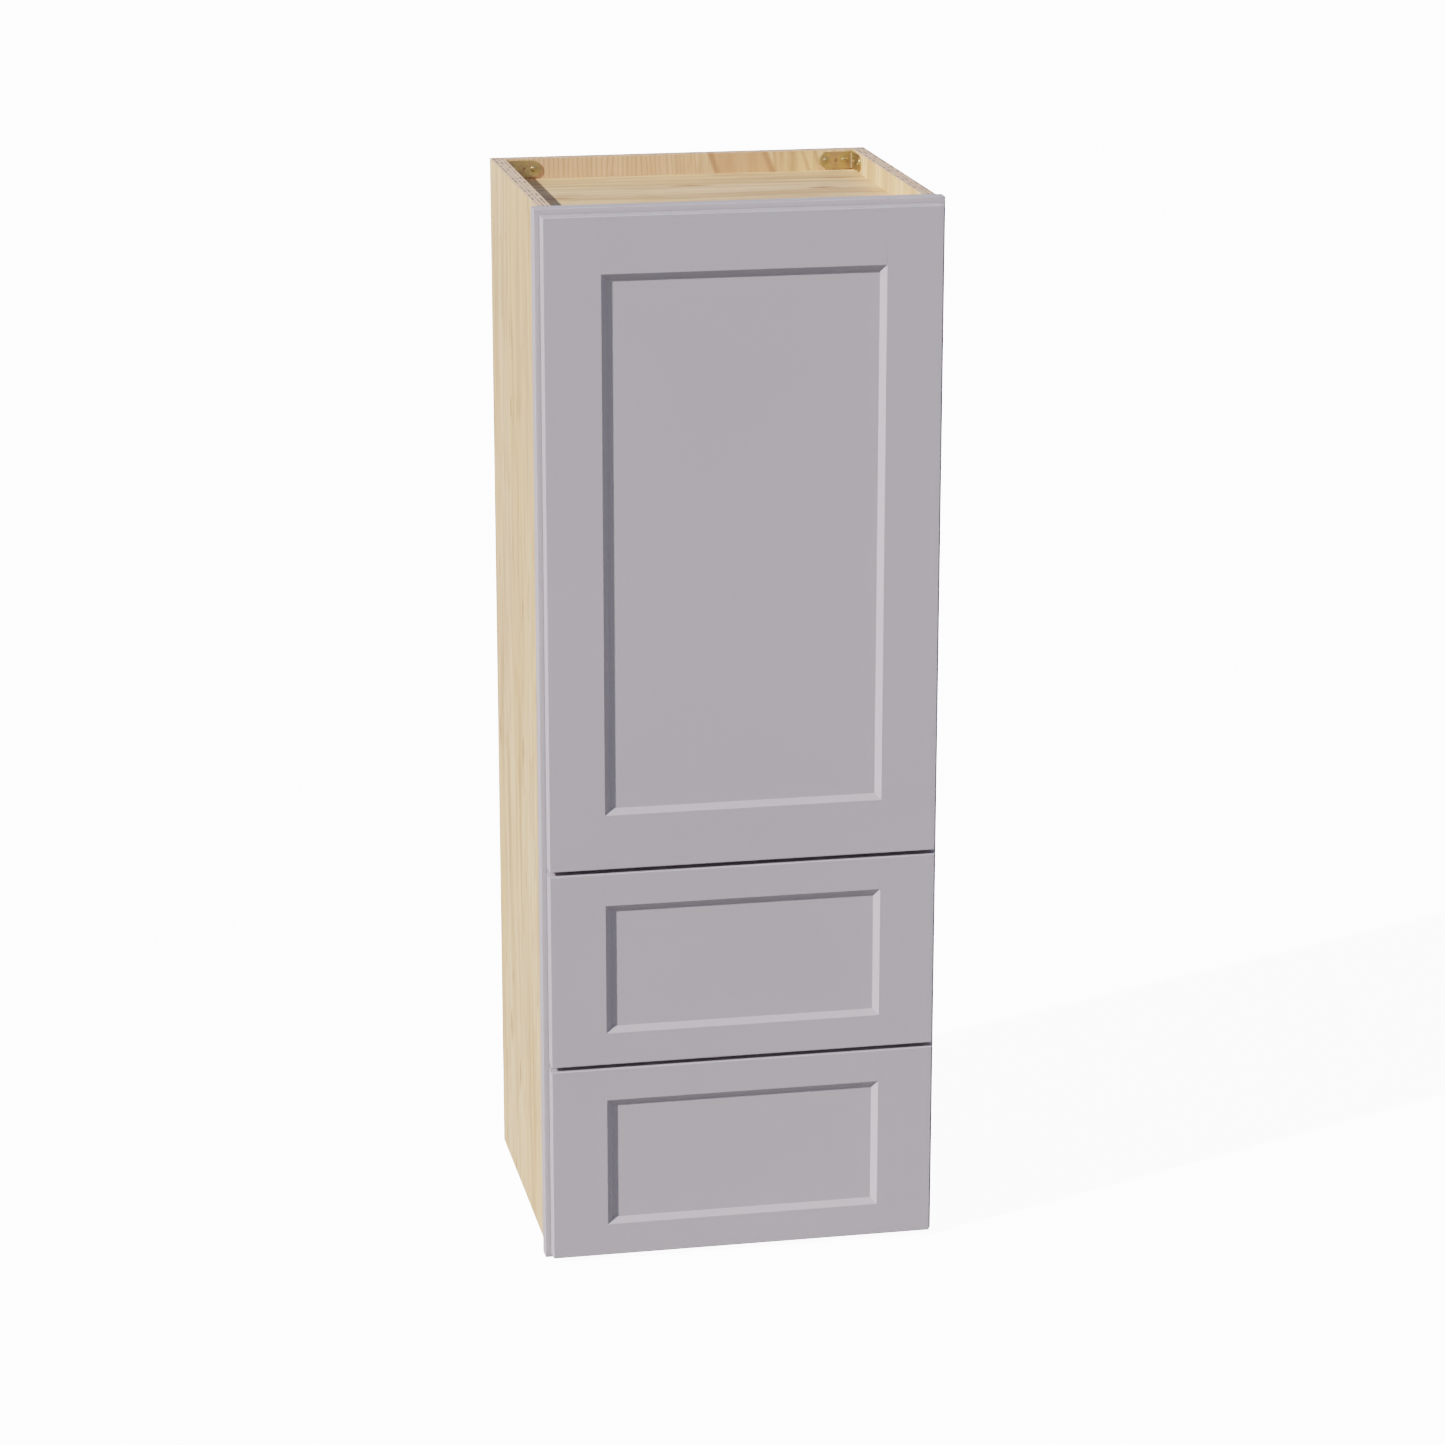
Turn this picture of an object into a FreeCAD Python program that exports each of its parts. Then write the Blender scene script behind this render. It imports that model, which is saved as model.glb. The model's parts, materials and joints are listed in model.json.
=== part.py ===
import FreeCAD, Part
import math
import os

# Wall-height pantry cabinet: plywood case, painted face frame, one overlay door, two drawers.
# Millimetres. +Z up, the front faces -Y, origin at the bottom centre of the closed cabinet.

# Case and face frame
cabinet_width = 457.2        # over the face frame
cabinet_height = 1219.2
case_depth = 354.0           # side panels, from the face frame's back to the wall
side_thick = 15.9
back_thick = 15.9
deck_thick = 12.7            # top, bottom and drawer deck panels
dado_depth = 6.0             # how far the decks and the back sit into the side panels
top_recess = 23.5            # top panel below the top edges of the sides
bottom_recess = 25.4         # bottom panel above the bottom edges of the sides
frame_thick = 19.05
frame_stile = 38.1           # width of a face frame stile
frame_rail = 38.1            # height of a face frame rail
frame_overhang = 6.35        # face frame past the outer face of each side panel
frame_edge_radius = 0.8
tenon_length = 12.7
tenon_thick = 6.35
tenon_shoulder = 6.35        # rail height left above and below its tenon

# Door and drawer fronts
end_reveal = 6.35            # face frame showing above the door and below the lower drawer
front_gap = 5.1              # between one front and the next
drawer_front_height = 228.6
front_thick = 19.0
bumper_gap = 2.0             # between the back of a front and the face frame
front_stile = 63.5           # flat width of stiles, door and drawers
door_rail = 63.5             # flat height of the door's rails
drawer_rail = 38.1           # flat height of the drawer fronts' rails
bevel_width = 6.8            # sloping inner edge of stiles and rails
bevel_depth = 5.0
panel_recess = 5.6           # panel face below the front face
panel_thick = 6.35
panel_groove = 7.0           # groove depth in stiles and rails
panel_float = 0.8            # room left at each edge of a panel in its groove
front_edge_radius = 1.2

# Adjustable shelves
shelf_thick = 15.9
shelf_side_gap = 1.6         # shelf end to side panel
shelf_front_gap = 4.0        # shelf to face frame
shelf_back_gap = 2.0
pin_radius = 2.5
pin_depth = 9.0              # pin inside the side panel
pin_reach = 8.0              # pin under the shelf
pin_collar_radius = 4.0
pin_collar_thick = 1.2
pin_pitch = 50.8
pin_rows = 9
pin_first = 120.0            # first row above the drawer deck
pin_inset = 50.0             # columns from the face frame and from the back panel
shelf_rows = {"lower_shelf": 2, "upper_shelf": 6}

# Corner brackets in the top recess
bracket_leg = 41.0
bracket_height = 19.5
bracket_thick = 2.0
bracket_lift = 1.8           # above the top panel
bracket_hole_radius = 1.9
bracket_holes = (11.0, 21.5, 33.0)      # from the corner along each leg
bracket_screw_holes = (11.0, 33.0)      # the holes that hold a screw
bracket_screw_length = 12.0

# Drawer boxes and slides
box_thick = 12.7
box_height = 152.4
box_floor = 6.35             # thickness of a drawer bottom
box_floor_lift = 12.7        # drawer bottom above the lower edges
box_groove = 6.0
box_lift = 12.7              # box above the rail below it
tail_count = 4
tail_wide = 22.0             # dovetail at its outer end
tail_slope = 1.6             # narrowing of each flank along the tail
slide_length = 350.0
slide_space = 12.7           # between box side and the edge of the face frame opening
slide_height = 45.0
slide_steel = 1.2
slide_centre = 45.0          # slide centre line above the box's lower edge
slide_set_back = 1.0         # slide behind the front of the face frame
slide_lip = 10.4             # depth of the outer member's flanges
slide_return = 2.7           # turned-in edge of those flanges
middle_offset = 3.0          # middle member's web from the blocking
middle_height = 35.0
middle_flange = 7.8
inner_height = 24.0
inner_flange = 7.1
middle_set_back = 3.0
block_height = 60.0
slide_screw_spots = (30.0, 175.0, 320.0)   # along a slide member
front_screw_length = 25.0
front_screw_gap = 0.2        # head of a front screw to the box side
front_screw_heights = (35.0, 118.0)        # above the box's lower edge

# Bumpers
bumper_radius = 4.5
bumper_clearance = 0.3
bumper_edge = 22.0           # from the corner of a front

# Concealed hinges
hinge_end = 90.0             # hinge centre from the end of the door
cup_radius = 17.5
cup_depth = 12.8
cup_wall = 0.9
cup_edge = 4.0               # cup from the door's outer edge
cup_offset = 10.25           # cup centre from the edge of the frame opening
cup_flange_thick = 1.0
cup_flange_height = 56.0
cup_flange_width = 24.0
cup_screw_spacing = 45.0
swing_axis_in = 5.0          # door axis from the door's outer edge
swing_axis_deep = 9.5        # door axis from the door's back face
swing_degrees = 105.0
link_pivot_in = 2.0          # link pivot from the edge of the frame opening, towards the room
link_pivot_deep = 4.5        # link pivot inside the door's back face
link_end_in = 3.6            # link end from the door axis, towards the opening
link_end_back = 1.8          # link end from the door axis, towards the cabinet
link_swing_degrees = 25.0    # keeps the link clear of the cup all the way
link_half_height = 4.0
link_half_thick = 1.25
link_eye_radius = 2.0
link_pin_radius = 1.2
link_bore_gap = 0.05
ear_thick = 1.6
ear_gap = 0.4
ear_radius = 2.2
arm_plate_thick = 2.0
arm_plate_depth = 16.0
arm_plate_height = 44.0
arm_screw_spacing = 32.0
arm_screw_length = 16.0

# Fasteners
screw_radius = 1.7
screw_head_radius = 3.6
screw_head_thick = 1.2

# Worked out from the sizes above
half_width = cabinet_width / 2
side_outer = half_width - frame_overhang
side_inner = side_outer - side_thick
opening_half = half_width - frame_stile
total_depth = case_depth + frame_thick + bumper_gap + front_thick
y_front = -total_depth / 2
y_front_back = y_front + front_thick
y_face = y_front_back + bumper_gap
y_case = y_face + frame_thick
y_wall = total_depth / 2
y_back = y_wall - back_thick
front_half = opening_half + cup_offset + cup_radius + cup_edge     # full overlay, set by the hinges
lower_z = (end_reveal, end_reveal + drawer_front_height)
upper_z = (lower_z[1] + front_gap, lower_z[1] + front_gap + drawer_front_height)
door_z = (upper_z[1] + front_gap, cabinet_height - end_reveal)
drawer_rail_mid = lower_z[1] + front_gap / 2
middle_rail_mid = upper_z[1] + front_gap / 2
drawer_rail_z = (drawer_rail_mid - frame_rail / 2, drawer_rail_mid + frame_rail / 2)
middle_rail_z = (middle_rail_mid - frame_rail / 2, middle_rail_mid + frame_rail / 2)
deck_top = middle_rail_z[1]
top_under = cabinet_height - top_recess - deck_thick
box_half = opening_half - slide_space
box_inner = box_half - box_thick
box_front_y = y_front_back
slide_y = y_face + slide_set_back
hinge_heights = (door_z[0] + hinge_end, door_z[1] - hinge_end)
front_border = front_stile + bevel_width

UP = FreeCAD.Vector(0, 0, 1)
RIGHT = FreeCAD.Vector(1, 0, 0)
BACK = FreeCAD.Vector(0, 1, 0)


def block(x0, x1, y0, y1, z0, z1):
    return Part.makeBox(x1 - x0, y1 - y0, z1 - z0, FreeCAD.Vector(x0, y0, z0))


def rod(centre, direction, radius, length):
    return Part.makeCylinder(radius, length, FreeCAD.Vector(*centre), direction)


def prism(points, direction):
    loop = [FreeCAD.Vector(*p) for p in points]
    return Part.Face(Part.makePolygon(loop + loop[:1])).extrude(direction)


def mirrored(shape):
    return shape.mirror(FreeCAD.Vector(0, 0, 0), RIGHT)


def both_sides(shapes):
    return shapes + [mirrored(s) for s in shapes]


def cut_all(shape, tools):
    for tool in tools:
        shape = shape.cut(tool)
    return shape


def screw(head_at, direction, length):
    """A pan-head screw: its head's underside at head_at, its shank along direction."""
    shank = rod(head_at, direction, screw_radius, length)
    head_top = FreeCAD.Vector(*head_at) - direction * screw_head_thick
    head = Part.makeCylinder(screw_head_radius, screw_head_thick, head_top, direction)
    return head.fuse(shank).removeSplitter()


def rounded_block(x0, x1, y0, y1, z0, z1, radius):
    """A slab with its four front edges eased."""
    slab = block(x0, x1, y0, y1, z0, z1)
    edges = [e for e in slab.Edges if abs(e.CenterOfMass.y - y0) < 0.01]
    return slab.makeFillet(radius, edges)


def save(node, shapes):
    solids = [s for shape in shapes for s in shape.Solids]
    shape = solids[0] if len(solids) == 1 else Part.makeCompound(solids)
    shape.exportStep("parts/" + node + ".step")
    print(node, len(solids), round(shape.Volume))


def framed_front(z0, z1, rail):
    """Stiles, rails and floating panel of a door or drawer front, as wide as the cabinet allows."""
    border = rail + bevel_width
    envelope = rounded_block(-front_half, front_half, y_front, y_front_back, z0, z1, front_edge_radius)

    def section(flat):
        edge = flat + bevel_width
        lip = y_front + panel_recess
        return [(0, y_front), (flat, y_front), (edge, y_front + bevel_depth), (edge, lip),
                (edge - panel_groove, lip), (edge - panel_groove, lip + panel_thick),
                (edge, lip + panel_thick), (edge, y_front_back), (0, y_front_back)]

    stile_section = [(-front_half + w, y, z0) for w, y in section(front_stile)]
    left = prism(stile_section, UP * (z1 - z0)).common(envelope)
    right = mirrored(left)
    rail_half = front_half - front_border + panel_groove
    low_section = [(-rail_half, y, z0 + w) for w, y in section(rail)]
    high_section = [(-rail_half, y, z1 - w) for w, y in section(rail)]
    rails = []
    for outline in (low_section, high_section):
        bar = prism(outline, RIGHT * (2 * rail_half)).common(envelope)
        rails.append(cut_all(bar, [left, right]))
    x_edge = front_half - front_border + panel_groove - panel_float
    z_edge = panel_groove - panel_float
    panel = block(-x_edge, x_edge, y_front + panel_recess, y_front + panel_recess + panel_thick,
                  z0 + border - z_edge, z1 - border + z_edge)
    return left, right, rails[0], rails[1], panel


def bumpers(spots):
    thick = bumper_gap - bumper_clearance
    domes = []
    for x, z in spots:
        dome = rod((x, y_front_back, z), BACK, bumper_radius, thick)
        rim = [e for e in dome.Edges if abs(e.CenterOfMass.y - y_front_back - thick) < 0.01]
        domes.append(dome.makeFillet(thick * 0.6, rim))
    return domes


# Face frame

def face_frame():
    envelope = rounded_block(-half_width, half_width, y_face, y_case, 0, cabinet_height,
                             frame_edge_radius)
    mid_y = (y_face + y_case) / 2
    spans = {"frame_bottom_rail": (0, frame_rail), "frame_drawer_rail": drawer_rail_z,
             "frame_middle_rail": middle_rail_z,
             "frame_top_rail": (cabinet_height - frame_rail, cabinet_height)}
    rails = {}
    for name, (z0, z1) in spans.items():
        bar = block(-opening_half, opening_half, y_face, y_case, z0, z1).common(envelope)
        reach = opening_half + tenon_length
        tenon = block(-reach, reach, mid_y - tenon_thick / 2, mid_y + tenon_thick / 2,
                      z0 + tenon_shoulder, z1 - tenon_shoulder)
        rails[name] = bar.fuse(tenon).removeSplitter()
    left = block(-half_width, -opening_half, y_face, y_case, 0, cabinet_height).common(envelope)
    left = cut_all(left, list(rails.values()))
    return left, mirrored(left), rails


# Case

def decks():
    reach = side_inner + dado_depth
    spans = {"top_panel": (top_under, top_under + deck_thick),
             "drawer_deck": (deck_top - deck_thick, deck_top),
             "bottom_panel": (bottom_recess, bottom_recess + deck_thick)}
    panels = {n: block(-reach, reach, y_case, y_back, z0, z1) for n, (z0, z1) in spans.items()}
    panels["back_panel"] = block(-reach, reach, y_back, y_wall, 0, cabinet_height)
    return panels


def pin_columns():
    return (y_case + pin_inset, y_back - pin_inset)


def pin_height(row):
    return deck_top + pin_first + row * pin_pitch


def shelves():
    reach = side_inner - shelf_side_gap
    boards = {}
    for name, row in shelf_rows.items():
        z0 = pin_height(row) + pin_radius
        boards[name] = block(-reach, reach, y_case + shelf_front_gap, y_back - shelf_back_gap,
                             z0, z0 + shelf_thick)
    return boards


def shelf_pins():
    pins = []
    for row in shelf_rows.values():
        for y in pin_columns():
            centre = (-side_inner - pin_depth, y, pin_height(row))
            shank = rod(centre, RIGHT, pin_radius, pin_depth + pin_reach)
            collar = rod((-side_inner, y, pin_height(row)), RIGHT, pin_collar_radius,
                         pin_collar_thick)
            pins.append(shank.fuse(collar).removeSplitter())
    return both_sides(pins)


def side_panel(panels, screws):
    """The left side panel, dadoed for the decks and drilled for pins and screws."""
    side = block(-side_outer, -side_inner, y_case, y_wall, 0, cabinet_height)
    side = cut_all(side, list(panels.values()))
    for row in range(pin_rows):
        for y in pin_columns():
            hole = rod((-side_inner - pin_depth, y, pin_height(row)), RIGHT, pin_radius, pin_depth)
            side = side.cut(hole)
    return cut_all(side, screws)


# Corner brackets

def corner_bracket():
    """The left bracket and its screws: one leg along the side panel, one along the back."""
    z0 = cabinet_height - top_recess + bracket_lift
    z1 = z0 + bracket_height
    mid = (z0 + z1) / 2
    round_end = bracket_height / 2
    x0 = -side_inner
    y1 = y_back
    back_leg = block(x0, x0 + bracket_leg - round_end, y1 - bracket_thick, y1, z0, z1)
    back_leg = back_leg.fuse(rod((x0 + bracket_leg - round_end, y1 - bracket_thick, mid), BACK,
                                 round_end, bracket_thick))
    side_leg = block(x0, x0 + bracket_thick, y1 - bracket_leg + round_end, y1, z0, z1)
    side_leg = side_leg.fuse(rod((x0, y1 - bracket_leg + round_end, mid), RIGHT,
                                 round_end, bracket_thick))
    plate = back_leg.fuse(side_leg).removeSplitter()
    bend = [e for e in plate.Edges if abs(e.CenterOfMass.x - x0 - bracket_thick) < 0.01
            and abs(e.CenterOfMass.y - y1 + bracket_thick) < 0.01 and e.Length > bracket_height / 2]
    plate = plate.makeFillet(bracket_thick, bend)
    screws = []
    for along in bracket_holes:
        plate = plate.cut(rod((x0 + along, y1 - bracket_thick, mid), BACK,
                              bracket_hole_radius, bracket_thick))
        plate = plate.cut(rod((x0, y1 - along, mid), RIGHT, bracket_hole_radius, bracket_thick))
        if along in bracket_screw_holes:
            screws.append(screw((x0 + along, y1 - bracket_thick, mid), BACK, bracket_screw_length))
            screws.append(screw((x0 + bracket_thick, y1 - along, mid), -RIGHT, bracket_screw_length))
    return plate, screws


# Drawer slides

def channel(x_web, x_open, y0, y1, centre, height, lip=0.0):
    """A folded steel channel on the left side: web at x_web, flanges reaching to x_open."""
    step = slide_steel if x_open > x_web else -slide_steel
    x0, x1 = sorted((x_web, x_open))
    half = height / 2
    web0, web1 = sorted((x_web, x_web + step))
    shape = block(x0, x1, y0, y1, centre - half, centre + half)
    hollow0, hollow1 = (web1, x1 + 1) if x_open > x_web else (x0 - 1, web0)
    shape = shape.cut(block(hollow0, hollow1, y0 - 1, y1 + 1,
                            centre - half + slide_steel, centre + half - slide_steel))
    if lip:
        for side in (-1, 1):
            edge = centre + side * (half - slide_steel)
            z0, z1 = sorted((edge, edge - side * lip))
            shape = shape.fuse(block(x_open - slide_steel, x_open, y0, y1, z0, z1))
        shape = shape.removeSplitter()
    return shape


def slide_set(box_z):
    """Left-hand members of one slide, its blocking and its screws."""
    centre = box_z + slide_centre
    wall = -opening_half
    y1 = slide_y + slide_length
    cabinet = channel(wall, wall + slide_lip, slide_y, y1, centre, slide_height, slide_return)
    middle = channel(wall + middle_offset, wall + middle_offset + middle_flange,
                     slide_y + middle_set_back - slide_set_back, y1 - middle_set_back, centre,
                     middle_height)
    inner = channel(wall + slide_space, wall + slide_space - inner_flange, slide_y, y1, centre,
                    inner_height)
    blocking = block(-side_inner, wall, y_case, y_back, centre - block_height / 2,
                     centre + block_height / 2)
    cabinet_screws = []
    inner_screws = []
    for along in slide_screw_spots:
        y = slide_y + along
        cabinet_screws.append(screw((wall + slide_steel, y, centre), -RIGHT,
                                    screw_length_for(side_inner - opening_half)))
        inner_screws.append(screw((wall + slide_space - slide_steel, y, centre), RIGHT,
                                  screw_length_for(box_thick)))
    for spot in cabinet_screws:
        cabinet = cabinet.cut(spot)
        blocking = blocking.cut(spot)
    inner = cut_all(inner, inner_screws)
    return cabinet, middle, inner, blocking, cabinet_screws, inner_screws


def screw_length_for(board):
    """A slide screw that stops short of the far face of the board it bites into."""
    return slide_steel + board - 3.0


# Drawer boxes

def dovetails(y_outer, y_inner, box_z):
    """Tails on the left box side, widest at the outer face of the board they enter."""
    tails = []
    pitch = box_height / tail_count
    for i in range(tail_count):
        mid = box_z + pitch * (i + 0.5)
        wide = tail_wide / 2
        narrow = wide - tail_slope
        outline = [(-box_half, y_outer, mid - wide), (-box_half, y_outer, mid + wide),
                   (-box_half, y_inner, mid + narrow), (-box_half, y_inner, mid - narrow)]
        tails.append(prism(outline, RIGHT * box_thick))
    return tails


def drawer_box(box_z):
    y0 = box_front_y
    y1 = y0 + slide_length
    z1 = box_z + box_height
    tails = dovetails(y0, y0 + box_thick, box_z) + dovetails(y1, y1 - box_thick, box_z)
    reach = box_inner + box_groove
    floor_z = box_z + box_floor_lift
    floor = block(-reach, reach, y0 + box_thick - box_groove, y1 - box_thick + box_groove,
                  floor_z, floor_z + box_floor)
    side = block(-box_half, -box_inner, y0 + box_thick, y1 - box_thick, box_z, z1)
    side = side.multiFuse(tails).removeSplitter().cut(floor)
    sockets = both_sides(tails)
    front = cut_all(block(-box_half, box_half, y0, y0 + box_thick, box_z, z1), sockets + [floor])
    back = cut_all(block(-box_half, box_half, y1 - box_thick, y1, box_z, z1), sockets + [floor])
    return side, front, back, floor


def drawer(prefix, z_span, opening_low):
    box_z = opening_low + box_lift
    left, right, low_rail, high_rail, panel = framed_front(z_span[0], z_span[1], drawer_rail)
    side, box_front, box_back, floor = drawer_box(box_z)
    cabinet, middle, inner, blocking, cabinet_screws, inner_screws = slide_set(box_z)
    screw_x = -box_inner + screw_head_radius + front_screw_gap
    front_screws = [screw((screw_x, box_front_y + box_thick, box_z + h), -BACK, front_screw_length)
                    for h in front_screw_heights]
    all_front_screws = both_sides(front_screws)
    box_front = cut_all(box_front, all_front_screws)
    left = cut_all(left, front_screws)
    side = cut_all(side, inner_screws)
    bumper_x = front_half - bumper_edge
    bumper_z = z_span[1] - bumper_edge
    save(prefix + "_front_stiles", [left, mirrored(left)])
    save(prefix + "_front_rails", [low_rail, high_rail])
    save(prefix + "_front_panel", [panel])
    save(prefix + "_box_left_side", [side])
    save(prefix + "_box_right_side", [mirrored(side)])
    save(prefix + "_box_front", [box_front])
    save(prefix + "_box_back", [box_back])
    save(prefix + "_box_bottom", [floor])
    save(prefix + "_drawer_slide_members", both_sides([inner]))
    save(prefix + "_middle_slide_members", both_sides([middle]))
    save(prefix + "_cabinet_slide_members", both_sides([cabinet]))
    save(prefix + "_drawer_screws", both_sides(front_screws + inner_screws))
    save(prefix + "_drawer_bumpers", bumpers([(-bumper_x, bumper_z), (bumper_x, bumper_z)]))
    return blocking, cabinet_screws


# Hinges

def hinge_points():
    """Door axis, link pivot and the link's free end with the door closed, in plan."""
    axis = (-front_half + swing_axis_in, y_front_back - swing_axis_deep)
    pivot = (-opening_half + link_pivot_in, y_front_back - link_pivot_deep)
    return axis, pivot, (axis[0] + link_end_in, axis[1] + link_end_back)


def hinge_cup(z):
    x = -opening_half - cup_offset
    cup = rod((x, y_front_back - cup_depth, z), BACK, cup_radius, cup_depth)
    flange = block(x - cup_flange_width / 2, x + cup_flange_width / 2, y_front_back,
                   y_front_back + cup_flange_thick, z - cup_flange_height / 2,
                   z + cup_flange_height / 2)
    corners = [e for e in flange.Edges if abs(e.tangentAt(e.FirstParameter).y) > 0.9]
    flange = flange.makeFillet(cup_flange_width / 3, corners)
    rim = rod((x, y_front_back, z), BACK, cup_radius, cup_flange_thick)
    hollow = rod((x, y_front_back - cup_depth + cup_wall, z), BACK, cup_radius - cup_wall,
                 cup_depth + cup_flange_thick)
    pot = cup.fuse(flange).fuse(rim).removeSplitter().cut(hollow)
    head = y_front_back + cup_flange_thick
    screws = [screw((x, head, z + s * cup_screw_spacing / 2), -BACK, bracket_screw_length)
              for s in (-1, 1)]
    low_heads = [s.common(block(x - 9, x + 9, y_front, head + bumper_gap / 4, z - 40, z + 40))
                 for s in screws]
    return cut_all(pot, low_heads), cup, low_heads


def hinge_arm(z):
    """Plate on the edge of the frame stile, with two ears that carry the link."""
    pivot = hinge_points()[1]
    wall = -opening_half
    plate = block(wall, wall + arm_plate_thick, y_face, y_face + arm_plate_depth,
                  z - arm_plate_height / 2, z + arm_plate_height / 2)
    front_corners = [e for e in plate.Edges if abs(e.tangentAt(e.FirstParameter).x) > 0.9]
    arm = plate.makeFillet(arm_plate_depth / 4, front_corners)
    pin_low = -(link_half_height + ear_gap + ear_thick)
    for side in (-1, 1):
        z0, z1 = sorted((z + side * (link_half_height + ear_gap), z - side * pin_low))
        ear = block(wall, pivot[0] + ear_radius, pivot[1], y_face + arm_plate_depth / 2, z0, z1)
        arm = arm.fuse(ear).fuse(rod((pivot[0], pivot[1], z0), UP, ear_radius, z1 - z0))
    arm = arm.removeSplitter()
    pin = rod((pivot[0], pivot[1], z + pin_low), UP, link_pin_radius, -2 * pin_low)
    mid_y = y_face + arm_plate_depth * 0.6
    screws = [screw((wall + arm_plate_thick, mid_y, z + s * arm_screw_spacing / 2), -RIGHT,
                    arm_screw_length) for s in (-1, 1)]
    return cut_all(arm, [pin] + screws), pin, screws


def hinge_link(z):
    """Flat link with an eye at each end and a pin that runs free in the cup."""
    axis, pivot, end = hinge_points()
    dx, dy = end[0] - pivot[0], end[1] - pivot[1]
    span = math.hypot(dx, dy)
    nx, ny = -dy / span * link_half_thick, dx / span * link_half_thick
    z0 = z - link_half_height
    outline = [(pivot[0] + nx, pivot[1] + ny, z0), (end[0] + nx, end[1] + ny, z0),
               (end[0] - nx, end[1] - ny, z0), (pivot[0] - nx, pivot[1] - ny, z0)]
    link = prism(outline, UP * (2 * link_half_height))
    for x, y in (pivot, end):
        link = link.fuse(rod((x, y, z0), UP, link_eye_radius, 2 * link_half_height))
    link = link.cut(rod((pivot[0], pivot[1], z0), UP, link_pin_radius + link_bore_gap,
                        2 * link_half_height))
    free_pin = rod((end[0], end[1], z0 - ear_gap), UP, link_pin_radius,
                   2 * (link_half_height + ear_gap))
    return link.fuse(free_pin).removeSplitter()


def door():
    left, right, low_rail, high_rail, panel = framed_front(door_z[0], door_z[1], door_rail)
    cups = []
    cup_screws = []
    for z in hinge_heights:
        pot, bore, screws = hinge_cup(z)
        left = cut_all(left, [bore] + screws)
        cups.append(pot)
        cup_screws += screws
    latch_x = front_half - bumper_edge
    spots = [(latch_x, door_z[0] + bumper_edge), (latch_x, door_z[1] - bumper_edge)]
    save("door_hinge_stile", [left])
    save("door_latch_stile", [right])
    save("door_bottom_rail", [low_rail])
    save("door_top_rail", [high_rail])
    save("door_panel", [panel])
    save("hinge_cups", cups)
    save("hinge_cup_screws", cup_screws)
    save("hinge_links", [hinge_link(z) for z in hinge_heights])
    save("door_bumpers", bumpers(spots))


def cabinet():
    left_stile, right_stile, rails = face_frame()
    panels = decks()
    bracket, bracket_screws = corner_bracket()
    blocks = []
    slide_screws = []
    for prefix, z_span, opening_low in (("upper", upper_z, drawer_rail_z[1]),
                                        ("lower", lower_z, frame_rail)):
        blocking, screws = drawer(prefix, z_span, opening_low)
        blocks.append(blocking)
        slide_screws += screws
    arms = []
    pins = []
    arm_screws = []
    for z in hinge_heights:
        arm, pin, screws = hinge_arm(z)
        arms.append(arm)
        pins.append(pin)
        arm_screws += screws
    left_side = side_panel(panels, bracket_screws)
    panels["back_panel"] = cut_all(panels["back_panel"], both_sides(bracket_screws))
    save("left_side_panel", [left_side])
    save("right_side_panel", [mirrored(left_side)])
    for name, shape in list(panels.items()) + list(shelves().items()):
        save(name, [shape])
    save("shelf_pins", shelf_pins())
    save("frame_left_stile", [cut_all(left_stile, arm_screws)])
    save("frame_right_stile", [right_stile])
    for name, shape in rails.items():
        save(name, [shape])
    save("left_corner_bracket", [bracket])
    save("right_corner_bracket", [mirrored(bracket)])
    save("bracket_screws", both_sides(bracket_screws))
    save("slide_blocks", both_sides(blocks))
    save("slide_screws", both_sides(slide_screws))
    save("hinge_arms", arms)
    save("hinge_pins", pins)
    save("hinge_arm_screws", arm_screws)


os.makedirs("parts", exist_ok=True)
door()
cabinet()
axis_x, axis_y = hinge_points()[0]
pivot_x, pivot_y = hinge_points()[1]
print("door axis", round(axis_x, 3), round(axis_y, 3), "link pivot", round(pivot_x, 3),
      round(pivot_y, 3), "link ratio", round(link_swing_degrees / swing_degrees, 6))
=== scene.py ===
import json
import math
import random

import bmesh
import bpy
from mathutils import Matrix, Vector


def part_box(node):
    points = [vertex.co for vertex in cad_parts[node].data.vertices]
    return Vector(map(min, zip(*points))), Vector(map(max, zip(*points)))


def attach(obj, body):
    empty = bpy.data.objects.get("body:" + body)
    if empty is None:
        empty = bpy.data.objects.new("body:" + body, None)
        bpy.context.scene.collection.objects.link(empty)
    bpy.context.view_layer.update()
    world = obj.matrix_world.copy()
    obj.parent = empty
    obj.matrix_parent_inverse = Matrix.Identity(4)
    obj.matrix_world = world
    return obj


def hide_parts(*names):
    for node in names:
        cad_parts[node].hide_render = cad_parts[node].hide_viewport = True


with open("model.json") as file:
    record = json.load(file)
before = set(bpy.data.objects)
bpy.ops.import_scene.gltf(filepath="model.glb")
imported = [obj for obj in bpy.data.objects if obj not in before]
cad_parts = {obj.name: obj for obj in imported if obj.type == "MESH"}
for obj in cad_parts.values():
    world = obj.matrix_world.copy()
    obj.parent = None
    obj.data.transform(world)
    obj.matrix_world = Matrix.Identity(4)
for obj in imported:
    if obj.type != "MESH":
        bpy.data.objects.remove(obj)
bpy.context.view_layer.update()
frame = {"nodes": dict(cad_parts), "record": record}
nodes = frame["nodes"]
scene = bpy.context.scene


# shading maths as plain expressions

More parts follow.
